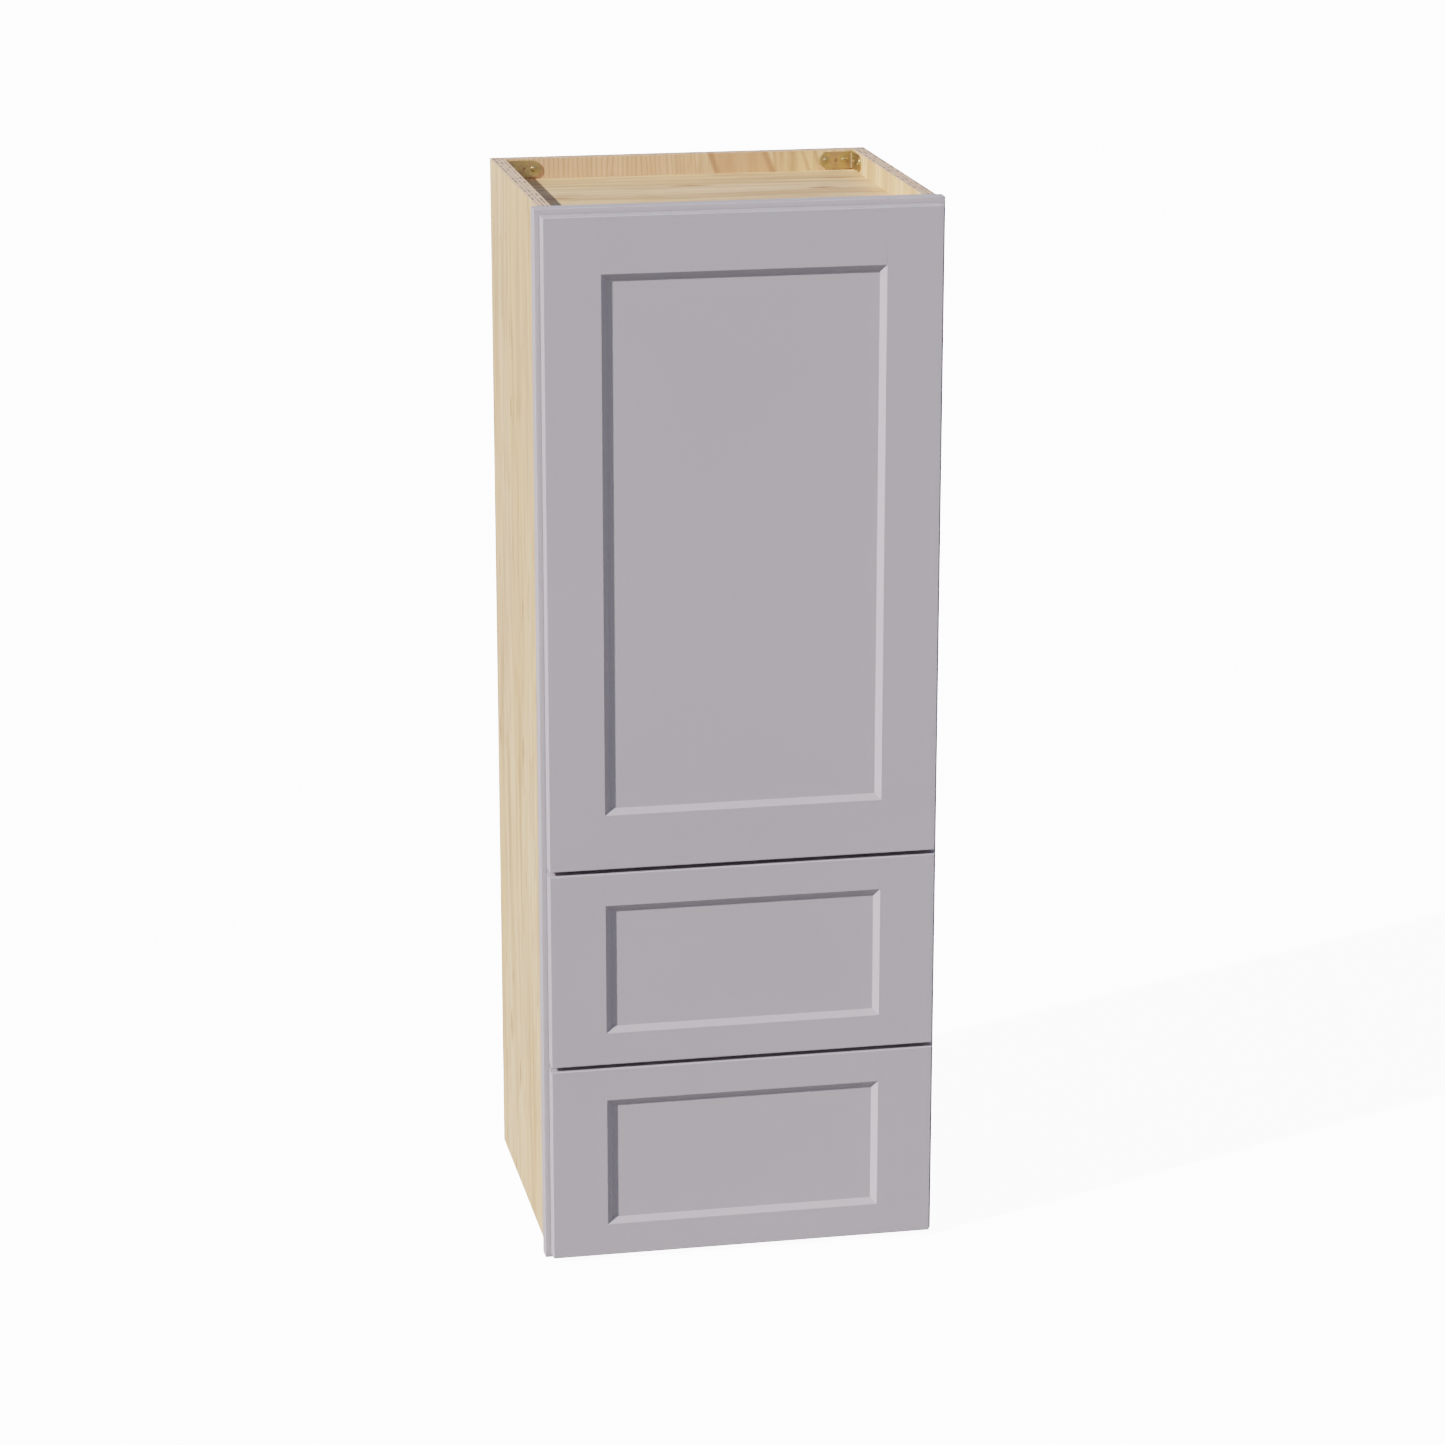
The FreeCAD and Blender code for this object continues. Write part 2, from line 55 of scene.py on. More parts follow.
class Wire:
    # one node socket; arithmetic on it adds the nodes
    def __init__(self, tree, socket=None):
        self.tree = tree
        self.socket = socket

    def add(self, kind, settings=None, inputs=None, output=0):
        made = self.tree.nodes.new(kind)
        for name, value in (settings or {}).items():
            setattr(made, name, value)
        for name, value in (inputs or {}).items():
            if isinstance(value, Wire):
                self.tree.links.new(value.socket, made.inputs[name])
            else:
                made.inputs[name].default_value = value
        return Wire(self.tree, made.outputs[output])

    def sibling(self, name):
        return Wire(self.tree, self.socket.node.outputs[name])

    def parts(self):
        first = self.add("ShaderNodeSeparateXYZ", inputs={0: self})
        return first, first.sibling("Y"), first.sibling("Z")

    def join(self, y, z):
        return self.add("ShaderNodeCombineXYZ", inputs={0: self, 1: y, 2: z})

    def spread(self, value):
        if isinstance(value, Wire):
            return value
        many = value if isinstance(value, tuple) else (value,) * 3
        return many + (1.0,) if self.socket.type == "RGBA" else many

    def maths(self, operation, other, swapped=False):
        if self.socket.type == "VALUE" and not isinstance(other, tuple):
            pair = (other, self) if swapped else (self, other)
            return self.add("ShaderNodeMath", {"operation": operation}, {0: pair[0], 1: pair[1]})
        other = self.spread(other)
        pair = (other, self) if swapped else (self, other)
        if self.socket.type == "RGBA":
            settings = {"data_type": "RGBA", "blend_type": operation}
            return self.add("ShaderNodeMix", settings, {0: 1.0, 6: pair[0], 7: pair[1]}, 2)
        return self.add("ShaderNodeVectorMath", {"operation": operation}, {0: pair[0], 1: pair[1]})

    def __add__(self, other): return self.maths("ADD", other)
    def __radd__(self, other): return self.maths("ADD", other)
    def __sub__(self, other): return self.maths("SUBTRACT", other)
    def __rsub__(self, other): return self.maths("SUBTRACT", other, True)
    def __mul__(self, other): return self.maths("MULTIPLY", other)
    def __rmul__(self, other): return self.maths("MULTIPLY", other)
    def __truediv__(self, other): return self.maths("DIVIDE", other)
    def __pow__(self, other): return self.maths("POWER", other)
    def __abs__(self): return self.maths("ABSOLUTE", 0.0)

    def step(self, low, high):  # smooth 0 to 1 between low and high
        return self.add("ShaderNodeMapRange", {"interpolation_type": "SMOOTHSTEP"},
                        {"Value": self, "From Min": low, "From Max": high})

    def blend(self, first, second):  # self picks between two colours
        ends = [tuple(c) + (1.0,) if isinstance(c, tuple) else c for c in (first, second)]
        return self.add("ShaderNodeMix", {"data_type": "RGBA"}, {0: self, 6: ends[0], 7: ends[1]}, 2)

    def noise(self, scale=1.0, detail=2.0, roughness=0.5):
        return self.add("ShaderNodeTexNoise", None,
                        {"Vector": self, "Scale": scale, "Detail": detail, "Roughness": roughness})


def surface(name, look, constants=None):
    # look(where, normal) gives the sockets that change over the surface
    material = bpy.data.materials.new(name)
    material.use_nodes = True
    tree = material.node_tree
    shader = tree.nodes["Principled BSDF"]
    where = Wire(tree).add("ShaderNodeTexCoord", output="Object")
    for label, value in look(where, where.sibling("Normal")).items():
        if label == "Height":
            height, reach = value
            value = height.add("ShaderNodeBump", None,
                               {"Height": height, "Strength": 1.0, "Distance": reach})
            label = "Normal"
        tree.links.new(value.socket, shader.inputs[label])
    for label, value in (constants or {}).items():
        shader.inputs[label].default_value = value
    return material


# painted wood

greyPaint = {
    "colour": (0.442, 0.404, 0.425),
    "cloudScale": 2.6,
    "cloudy": 0.035,                    # share of tone that drifts over a front
    "cloudLift": 1.03,                  # colour of the lighter drifts
    "fibreStretch": (60.0, 60.0, 9.0),  # brush and wood fibres run upright
    "fibreScale": 6.0,
    "fibreTone": 0.022,
    "speckScale": 1900.0,
    "speckTone": 0.012,
    "peelScale": 520.0,
    "peel": 0.00009,                    # height of the sprayed texture, metres
    "roughness": 0.42,
    "specular": 0.45,
}


def paintLook(where, normal):
    cloud = where.noise(greyPaint["cloudScale"], 3.0)
    fibres = (where * greyPaint["fibreStretch"]).noise(greyPaint["fibreScale"], 3.0)
    peel = where.noise(greyPaint["peelScale"], 2.0, 0.45)
    speck = where.noise(greyPaint["speckScale"], 1.0).step(0.70, 0.80)
    tone = 1.0 + (cloud - 0.5) * greyPaint["cloudy"] + (fibres - 0.5) * greyPaint["fibreTone"]
    tone = tone - speck * greyPaint["speckTone"]
    lifted = tuple(part * greyPaint["cloudLift"] for part in greyPaint["colour"])
    colour = cloud.step(0.3, 0.7).blend(greyPaint["colour"], lifted) * tone
    rough = greyPaint["roughness"] + (cloud - 0.5) * 0.10 + (peel - 0.5) * 0.12
    height = peel * 0.75 + fibres * 0.35 + speck * 0.25
    return {"Base Color": colour, "Roughness": rough, "Height": (height, greyPaint["peel"])}


# pale veneer and solid wood

veneer = {
    "cream": (0.850, 0.585, 0.330),
    "honey": (0.770, 0.500, 0.252),
    "blush": (0.770, 0.500, 0.290),
    "line": (0.455, 0.255, 0.120),
    "streak": (0.360, 0.150, 0.055),
    "knot": (0.180, 0.095, 0.045),
    "roughness": 0.52,
    "pore": 0.00012,           # height of the open pores, metres
    "coat": 0.12,
    "coatRoughness": 0.35,
    "bendScales": (2.2, 1.1),  # slow sideways drift of the grain, across and along
    "bend": 0.056,
    "swayScales": (9.0, 4.0),  # quicker and smaller
    "sway": 0.008,
}

grainLayers = (  # scales across and along, seed, detail, roughness, first, full, share, colour
    (22.0, 1.5, 1.0, 2.0, 0.5, 0.40, 0.60, 1.00, "honey"),
    (13.0, 2.3, 2.7, 2.0, 0.5, 0.47, 0.63, 0.55, "blush"),
    (70.0, 3.4, 3.1, 3.0, 0.6, 0.47, 0.66, 0.50, "line"),
    (170.0, 4.8, 3.9, 2.0, 0.6, 0.48, 0.66, 0.42, "line"),
    (430.0, 7.0, 4.9, 2.0, 0.6, 0.48, 0.68, 0.26, "line"),
)


def woodField(where, along, across, seed):
    # coordinates that run with the grain, gently bent as the tree grew
    axes = where.parts()
    u = axes["XYZ".index(along)]
    v = axes["XYZ".index(across)]
    offset = v
    for shift, scales, reach in ((0.0, "bendScales", "bend"), (7.3, "swayScales", "sway")):
        acrossScale, alongScale = veneer[scales]
        wave = (v * acrossScale).join(u * alongScale, seed + shift).noise(1.0, 2.0) - 0.5
        offset = offset + wave * veneer[reach]
    return u, offset


def clearGrain(u, v, seed):
    # a quiet sliced face: soft bands first, the finest lines last
    colour = veneer["cream"]
    for across, along, shift, detail, roughness, first, full, share, tone in grainLayers:
        layer = (v * across).join(u * along, seed + shift).noise(1.0, detail, roughness)
        colour = (layer.step(first, full) * share).blend(colour, veneer[tone])
    pores = (v * 1500.0).join(u * 45.0, seed + 6.2).noise(1.0, 1.0).step(0.62, 0.80)
    return colour, layer, pores


spindleMarks = {
    "across": 17.0,          # cells per metre
    "along": 4.4,
    "share": 0.52,           # cells left empty
    "size": 0.060,
    "sizeMore": 0.100,
    "strength": 0.74,
    "heart": 0.30,           # dark middle of a few marks, as a share of their size
    "heartStrength": 0.7,
    "wispAcross": 42.0,
    "wispAlong": 12.0,
    "wispStrength": 0.42,
}


def streaks(u, v, seed, colour, share=spindleMarks["share"]):
    # spindle shaped marks and wisps of darker wood along the grain
    marks = spindleMarks
    wobble = (v * 30.0).join(u * 16.0, seed + 9.0).noise(1.0, 2.0) - 0.5
    spots = (v * marks["across"] + wobble * 0.30).join(u * marks["along"], seed)
    cell = spots.add("ShaderNodeTexVoronoi", {"voronoi_dimensions": "2D"},
                     {"Vector": spots, "Scale": 1.0, "Randomness": 1.0}, "Distance")
    pick = cell.sibling("Color").add("ShaderNodeSeparateColor", None, {0: cell.sibling("Color")})
    chosen = pick.step(share, share + 0.06)
    size = marks["size"] + pick.sibling("Green") * marks["sizeMore"]
    spindle = (1.0 - cell / size).step(0.0, 0.70) * chosen
    colour = (spindle * marks["strength"]).blend(colour, veneer["streak"])
    wisp = (v * marks["wispAcross"] + wobble).join(u * marks["wispAlong"], seed + 12.4)
    wisp = wisp.noise(1.0, 3.0, 0.6)
    colour = (wisp.step(0.54, 0.68) * marks["wispStrength"]).blend(colour, veneer["line"])
    few = pick.sibling("Blue").step(0.80, 0.86) * chosen
    heart = (1.0 - cell / (size * marks["heart"])).step(0.0, 0.8) * few
    return (heart * marks["heartStrength"]).blend(colour, veneer["knot"])


archFigure = {"heartWidth": 0.0016, "ringsAcross": 95.0, "ringsAlong": 4.5, "wander": 7.0}


def cathedral(u, v, seed, colour, middle, strength, pitch=1.0):
    # nested long arches of a flat sliced leaf
    offset = v - middle
    lean = (v * 5.0).join(u * 1.6, seed + 11.0).noise(1.0, 2.0) - 0.5
    fan = (offset * offset + archFigure["heartWidth"]) ** 0.5
    rings = fan * archFigure["ringsAcross"] + u * archFigure["ringsAlong"]
    rings = (rings + lean * archFigure["wander"]) * pitch
    ring = rings.join(0.0, seed).noise(1.0, 1.0)
    colour = (ring.step(0.49, 0.64) * strength).blend(colour, veneer["line"])
    return (ring.step(0.42, 0.28) * strength * 0.6).blend(colour, veneer["cream"])


plyBands = {
    "count": 7,
    "light": (0.740, 0.515, 0.350),   # plies whose grain runs along the edge
    "dark": (0.640, 0.425, 0.290),    # plies cut across their grain
    "glue": (0.170, 0.108, 0.095),
    "dashes": 100.0,                  # dark gaps per metre in the cross plies
    "dashStrength": 0.84,
    "glueStrength": 0.18,
    "roughness": 0.22,                # rougher than the face by this much
}


def plyEdge(where, thick, low, deep):
    # thin layers stacked through the board, every other one with dark dashes
    axes = where.parts()
    level = (axes["XYZ".index(thick)] - low) / deep * plyBands["count"]
    run = [axes["XYZ".index(a)] for a in "XYZ" if a != thick]
    layer = level.maths("FLOOR", 0.0)
    phase = level.maths("FRACT", 0.0)
    cross = layer.maths("MODULO", 2.0).step(0.4, 0.6)
    grain = (level * 1.3).join(run[0] * 130.0, run[1] * 130.0).noise(1.0, 2.0)
    fibre = (level * 6.0).join(run[0] * 900.0, run[1] * 900.0).noise(1.0, 1.0)
    tone = 0.86 + grain * 0.22 + (fibre - 0.5) * 0.26 * cross
    wood = cross.blend(plyBands["light"], plyBands["dark"]) * tone
    gaps = (layer * 3.7).join(run[0] * plyBands["dashes"], run[1] * plyBands["dashes"])
    dash = gaps.noise(1.0, 2.0).step(0.50, 0.56)
    glue = (phase.step(0.86, 0.94) + phase.step(0.12, 0.04)).maths("MINIMUM", 1.0)
    dash = cross * dash * plyBands["dashStrength"]
    shade = dash.maths("MAXIMUM", glue * plyBands["glueStrength"])
    return shade.blend(wood, plyBands["glue"]), grain * 0.5 - glue * 0.4


def plyMaterial(name, node, thick, along, across, seed, arches=0.0, middle=0.0, extra=None):
    low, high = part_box(node)
    index = "XYZ".index(thick)

    def look(where, normal):
        u, v = woodField(where, along, across, seed)
        colour, fine, pores = clearGrain(u, v, seed)
        if arches:
            colour = cathedral(u, v, seed, colour, middle, arches)
        colour = streaks(u, v, seed, colour)
        if extra:
            colour = extra(u, v, seed, colour, normal)
        tint = (u * 2.0).join(v * 2.0, seed).noise(1.0, 1.0)
        colour = colour * (0.975 + tint * 0.05)
        edgeColour, edgeHeight = plyEdge(where, thick, low[index], high[index] - low[index])
        isEdge = 1.0 - abs(normal.parts()[index]).step(0.55, 0.75)
        rough = veneer["roughness"] + (fine - 0.5) * 0.16 + isEdge * plyBands["roughness"]
        height = (fine * 0.5 - pores * 0.6) * (1.0 - isEdge) + edgeHeight * isEdge
        return {"Base Color": isEdge.blend(colour, edgeColour), "Roughness": rough,
                "Height": (height, veneer["pore"])}
    return surface(name, look, {"Coat Weight": veneer["coat"],
                                "Coat Roughness": veneer["coatRoughness"]})


drawerWood = {"arches": 0.55, "archPitch": 1.5, "emptyCells": 0.84, "smoother": 0.04,
              "coat": 0.25, "coatRoughness": 0.28}


def solidMaterial(name, along, across, seed):
    index = "XYZ".index(along)

    def look(where, normal):
        u, v = woodField(where, along, across, seed)
        colour, fine, pores = clearGrain(u, v, seed)
        colour = cathedral(u, v, seed, colour, 0.0, drawerWood["arches"], drawerWood["archPitch"])
        colour = streaks(u, v, seed, colour, drawerWood["emptyCells"])
        others = [axis for place, axis in enumerate(where.parts()) if place != index]
        spread = (others[0] * 9.0).join(others[1] * 9.0, seed).noise(1.0, 2.0)
        arcs = (spread * 46.0).join(0.0, seed).noise(1.0, 1.0)  # growth rings on the sawn ends
        tubes = (others[0] * 1300.0).join(others[1] * 1300.0, seed).noise(1.0, 1.0)
        endTone = 0.80 + arcs * 0.26 + (tubes - 0.5) * 0.16
        endColour = arcs.step(0.3, 0.7).blend(veneer["honey"], veneer["line"]) * endTone
        isEnd = abs(normal.parts()[index]).step(0.55, 0.75)
        rough = veneer["roughness"] - drawerWood["smoother"] + (fine - 0.5) * 0.16 + isEnd * 0.16
        height = (fine * 0.5 - pores * 0.5) * (1.0 - isEnd) + tubes * 0.4 * isEnd
        return {"Base Color": isEnd.blend(colour, endColour), "Roughness": rough,
                "Height": (height, veneer["pore"])}
    return surface(name, look, {"Coat Weight": drawerWood["coat"],
                                "Coat Roughness": drawerWood["coatRoughness"]})


backFigure = {
    "tan": (0.655, 0.400, 0.240),
    "tanStrength": 0.70,
    "reed": (0.400, 0.200, 0.105),    # close upright lines on the left
    "reedsPerMetre": 178.0,
    "reedDrift": 3.2,
    "reedStrength": 0.42,
    "reedLower": 0.30,                # share of that strength below the top panel
    "topPanelAt": (1.172, 1.194),     # the slanted marks show above these heights
    "slantFrom": 1.2,
    "slant": 0.35,
    "marks": (  # starts, full, fading, gone, strength, colour
        (0.034, 0.042, 0.104, 0.112, 0.70, (0.540, 0.290, 0.150)),
        (0.034, 0.038, 0.040, 0.046, 0.60, (0.330, 0.155, 0.075)),
        (0.100, 0.106, 0.108, 0.112, 0.60, (0.330, 0.155, 0.075)),
        (0.146, 0.149, 0.150, 0.153, 0.45, (0.400, 0.205, 0.100)),
        (0.160, 0.163, 0.164, 0.168, 0.45, (0.400, 0.205, 0.100)),
    ),
}


def backLeaf(u, v, seed, colour, normal):
    # the back's veneer: close upright lines on the left, a tan figure right of the middle
    figure = backFigure
    colour = (v.step(0.080, -0.04) * figure["tanStrength"]).blend(colour, figure["tan"])
    drift = (v * 24.0).join(u * 5.0, seed + 14.0).noise(1.0, 2.0, 0.6)
    reeds = (v * figure["reedsPerMetre"] + drift * figure["reedDrift"]).maths("PINGPONG", 0.5) * 2.0
    fade = u.step(1.08, 1.19) * (1.0 - figure["reedLower"]) + figure["reedLower"]
    left = v.step(0.050, -0.020) * fade
    colour = (reeds.step(0.45, 0.95) * left * figure["reedStrength"]).blend(colour, figure["reed"])
    slant = v + (u - figure["slantFrom"]) * figure["slant"]
    inside = normal.parts()[1].step(0.2, -0.2) * u.step(*figure["topPanelAt"])
    for starts, full, fading, gone, strength, tone in figure["marks"]:
        mark = slant.step(starts, full) * slant.step(gone, fading)
        colour = (mark * inside * strength).blend(colour, tone)
    return colour


# metals and plastic

zincPlate = {
    "gold": (0.520, 0.405, 0.205),
    "rose": (0.460, 0.335, 0.200),
    "green": (0.340, 0.305, 0.160),
    "cloudScale": 110.0,
    "greenScale": 48.0,
    "greenShare": 0.7,
    "scratches": (900.0, 900.0, 60.0),
    "roughness": 0.38,
    "relief": 0.00001,
}
steelPlate = {
    "light": (0.690, 0.695, 0.700),
    "dark": (0.580, 0.585, 0.600),
    "spangleScale": 160.0,
    "drawn": (1400.0, 40.0, 1400.0),  # rolling marks run front to back
    "roughness": 0.34,
    "relief": 0.000005,
}
softPlastic = {
    "clear": (0.84, 0.86, 0.87),
    "hazy": (0.76, 0.78, 0.80),
    "hazeScale": 700.0,
    "roughness": 0.22,
    "relief": 0.00002,
    "transmission": 0.55,
    "bending": 1.46,
}


def zincLook(where, normal):
    cloud = where.noise(zincPlate["cloudScale"], 3.0, 0.6)
    drift = where.noise(zincPlate["greenScale"], 2.0)
    scratches = (where * zincPlate["scratches"]).noise(1.0, 2.0)
    colour = cloud.step(0.42, 0.62).blend(zincPlate["gold"], zincPlate["rose"])
    colour = (drift.step(0.50, 0.68) * zincPlate["greenShare"]).blend(colour, zincPlate["green"])
    colour = colour * (0.88 + cloud * 0.24)
    rough = zincPlate["roughness"] + (cloud - 0.5) * 0.24 + (scratches - 0.5) * 0.10
    return {"Base Color": colour, "Roughness": rough,
            "Height": (scratches + cloud, zincPlate["relief"])}


def steelLook(where, normal):
    spangle = where.noise(steelPlate["spangleScale"], 2.0, 0.6)
    drawn = (where * steelPlate["drawn"]).noise(1.0, 2.0)
    colour = spangle.step(0.35, 0.70).blend(steelPlate["light"], steelPlate["dark"])
    rough = steelPlate["roughness"] + (spangle - 0.5) * 0.16 + (drawn - 0.5) * 0.14
    return {"Base Color": colour * (0.94 + drawn * 0.12), "Roughness": rough,
            "Height": (drawn + spangle * 0.6, steelPlate["relief"])}


def bumperLook(where, normal):
    haze = where.noise(softPlastic["hazeScale"], 2.0)
    return {"Base Color": haze.step(0.2, 0.8).blend(softPlastic["clear"], softPlastic["hazy"]),
            "Roughness": softPlastic["roughness"] + haze * 0.16,
            "Height": (haze, softPlastic["relief"])}


paint = surface("satin grey paint", paintLook, {"Specular IOR Level": greyPaint["specular"]})
zinc = surface("yellow zinc plate", zincLook, {"Metallic": 1.0})
steel = surface("bright zinc plate", steelLook, {"Metallic": 1.0})
bumperPlastic = surface("clear soft plastic", bumperLook,
                        {"Transmission Weight": softPlastic["transmission"],
                         "IOR": softPlastic["bending"]})
print("shared finishes made")

boards = {  # node: thickness axis, grain axis, across axis, seed, strength and centre of the arches
    "left_side_panel": ("X", "Z", "Y", 3.7, 0.0, 0.0),
    "right_side_panel": ("X", "Z", "Y", 21.3, 0.50, -0.05),
    "top_panel": ("Z", "X", "Y", 8.1, 0.62, -0.02),
    "drawer_deck": ("Z", "X", "Y", 14.6, 0.55, 0.05),
    "bottom_panel": ("Z", "X", "Y", 17.2, 0.50, -0.06),
    "lower_shelf": ("Z", "X", "Y", 25.8, 0.60, 0.03),
    "upper_shelf": ("Z", "X", "Y", 31.4, 0.55, -0.04),
    "slide_blocks": ("X", "Y", "Z", 35.9, 0.0, 0.0),
    "upper_box_bottom": ("Z", "X", "Y", 41.2, 0.55, 0.02),
    "lower_box_bottom": ("Z", "X", "Y", 44.7, 0.55, -0.03),
}
woods = {name: plyMaterial(name.replace("_", " ") + " veneer", name, *look)
         for name, look in boards.items()}
woods["back_panel"] = plyMaterial("back panel veneer", "back_panel", "Y", "Z", "X", 52.4,
                                  0.30, 0.07, backLeaf)
for seed, prefix in enumerate(("upper", "lower")):
    for place, side in enumerate(("left_side", "right_side")):
        woods[prefix + "_box_" + side] = solidMaterial(prefix + " drawer " + side.replace("_", " "),
                                                       "Y", "Z", 61.0 + seed * 9.1 + place * 3.3)
    for place, side in enumerate(("front", "back")):
        woods[prefix + "_box_" + side] = solidMaterial(prefix + " drawer box " + side,
                                                       "X", "Z", 71.0 + seed * 7.7 + place * 2.9)
print("wood made for", len(woods), "boards")


# finish and edges of the carried parts

edges = {
    "paint": 0.0005,      # width of the eased edge, metres
    "wood": 0.0006,
    "metal": 0.00025,
    "segments": 3,
    "angle": 32.0,        # sharper corners than this are eased
    "weld": 0.00001,
    "flatAngle": 0.6,     # faces closer to flat than this are joined first
    "flatWeight": 80,
}
slotOf = {part["node"]: part["material_slot"] for part in frame["record"]["subparts"]}
sharedLooks = {"grey_paint": paint, "yellow_zinc": zinc, "bright_steel": steel,
               "clear_bumper": bumperPlastic}


def dress(node, material):
    if node.material_slots:
        for slot in node.material_slots:
            slot.material = material
    else:
        node.data.materials.append(material)


def easeEdges(node, width):
    weld = node.modifiers.new("weld", "WELD")
    weld.merge_threshold = edges["weld"]
    flat = node.modifiers.new("flat faces", "DECIMATE")
    flat.decimate_type = "DISSOLVE"
    flat.angle_limit = math.radians(edges["flatAngle"])
    ease = node.modifiers.new("eased edges", "BEVEL")
    ease.width = width
    ease.segments = edges["segments"]
    ease.limit_method = "ANGLE"
    ease.angle_limit = math.radians(edges["angle"])
    ease.harden_normals = False
    even = node.modifiers.new("even shading", "WEIGHTED_NORMAL")
    even.weight = edges["flatWeight"]


eased = {"grey_paint": edges["paint"], "plywood": edges["wood"], "drawer_wood": edges["wood"],
         "yellow_zinc": edges["metal"]}
for name, node in nodes.items():
    finish = slotOf[name]
    dress(node, woods.get(name) or sharedLooks[finish])
    if finish in eased:
        easeEdges(node, eased[finish])
print("carried parts dressed")


# screws with cross recesses

screwHead = {
    "domeAngles": (0, 12, 24, 36, 48, 60, 70, 78, 84),
    "domeDrop": 0.62,        # dome height as a share of the head's thickness
    "rimDrop": 0.80,
    "underside": 0.97,
    "recessReach": 0.60,     # the cross, as shares of the head's radius
    "recessHalf": 0.115,
    "recessDeep": 0.75,
    "recessTaper": 0.55,
    "recessTop": 0.001,      # the cutter stands this far above the head, metres
    "threadPitch": 0.0016,
    "threadDeep": 0.30,
    "sides": 40,
    "sharpAngle": 32.0,
    "rimShare": 0.85,        # a point is on the head past this share of the widest radius
    "shankShare": 0.75,
    "shankGuess": 0.47,      # shank radius if no point shows it
}


def islands(node):
    # the separate solids of a node, each a list of points
    shape = bmesh.new()
    shape.from_mesh(node.data)
    bmesh.ops.remove_doubles(shape, verts=shape.verts, dist=edges["weld"])
    waiting = set(shape.verts)
    found = []
    while waiting:
        reach = [waiting.pop()]
        points = []
        while reach:
            vertex = reach.pop()
            points.append(vertex.co.copy())
            for edge in vertex.link_edges:
                other = edge.other_vert(vertex)
                if other in waiting:
                    waiting.remove(other)
                    reach.append(other)
        found.append(points)
    shape.free()
    return sorted(found, key=lambda points: [round(min(p[i] for p in points), 5) for i in range(3)])


def screwFacts(points):
    # centre line, outward direction, head radius, head thickness, shank radius and length
    low = Vector([min(p[i] for p in points) for i in range(3)])
    high = Vector([max(p[i] for p in points) for i in range(3)])
    size = high - low
    axis = max(range(3), key=lambda i: size[i])
    middle = (low + high) / 2
    radial = [(p[axis], math.hypot(*[p[i] - middle[i] for i in range(3) if i != axis]))
              for p in points]
    widest = max(r for along, r in radial)
    head = [along for along, r in radial if r > widest * screwHead["rimShare"]]
    outward = 1.0 if sum(head) / len(head) > middle[axis] else -1.0
    thick = max(head) - min(head)
    direction = Vector((0, 0, 0))
    direction[axis] = outward
    top = middle.copy()
    top[axis] = high[axis] if outward > 0 else low[axis]
    shank = max((r for along, r in radial if r < widest * screwHead["shankShare"]),
                default=widest * screwHead["shankGuess"])
    return top, direction, widest, thick, shank, size[axis]


def spinProfile(shape, profile, sides):
    # rings of points round Z, joined by faces
    angles = [2 * math.pi * k / sides for k in range(sides)]
    rings = []
    for radius, height in profile:
        if radius < 1e-7:
            rings.append([shape.verts.new((0, 0, height))])
        else:
            rings.append([shape.verts.new((radius * math.cos(a), radius * math.sin(a), height))
                          for a in angles])
    for first, second in zip(rings, rings[1:]):
        for k in range(sides):
            corners = []
            for vertex in (first[k % len(first)], first[(k + 1) % len(first)],
                           second[(k + 1) % len(second)], second[k % len(second)]):
                if vertex not in corners:
                    corners.append(vertex)
            shape.faces.new(corners)


def meshObject(name, shape, material=None, smoothAngle=None):
    bmesh.ops.recalc_face_normals(shape, faces=shape.faces)
    mesh = bpy.data.meshes.new(name)
    shape.to_mesh(mesh)
    shape.free()
    piece = bpy.data.objects.new(name, mesh)
    scene.collection.objects.link(piece)
    if material:
        mesh.materials.append(material)
    if smoothAngle:
        mesh.shade_smooth()
        mesh.set_sharp_from_angle(angle=math.radians(smoothAngle))
    return piece


def crossCutter(reach, half, deep):
    # a plus outline that narrows towards the bottom of the recess
    shape = bmesh.new()
    corners = [(reach, half), (half, half), (half, reach)]
    outline = []
    for quarter in range(4):
        turned = Matrix.Rotation(quarter * math.pi / 2, 2)
        outline += [turned @ Vector(corner) for corner in corners]
    taper = screwHead["recessTaper"]
    top = [shape.verts.new((p.x, p.y, screwHead["recessTop"])) for p in outline]
    bottom = [shape.verts.new((p.x * taper, p.y * taper, -deep)) for p in outline]
    shape.faces.new(top)
    shape.faces.new(bottom[::-1])
    for k in range(len(outline)):
        shape.faces.new((top[k - 1], bottom[k - 1], bottom[k], top[k]))
    return meshObject("cross cutter", shape)


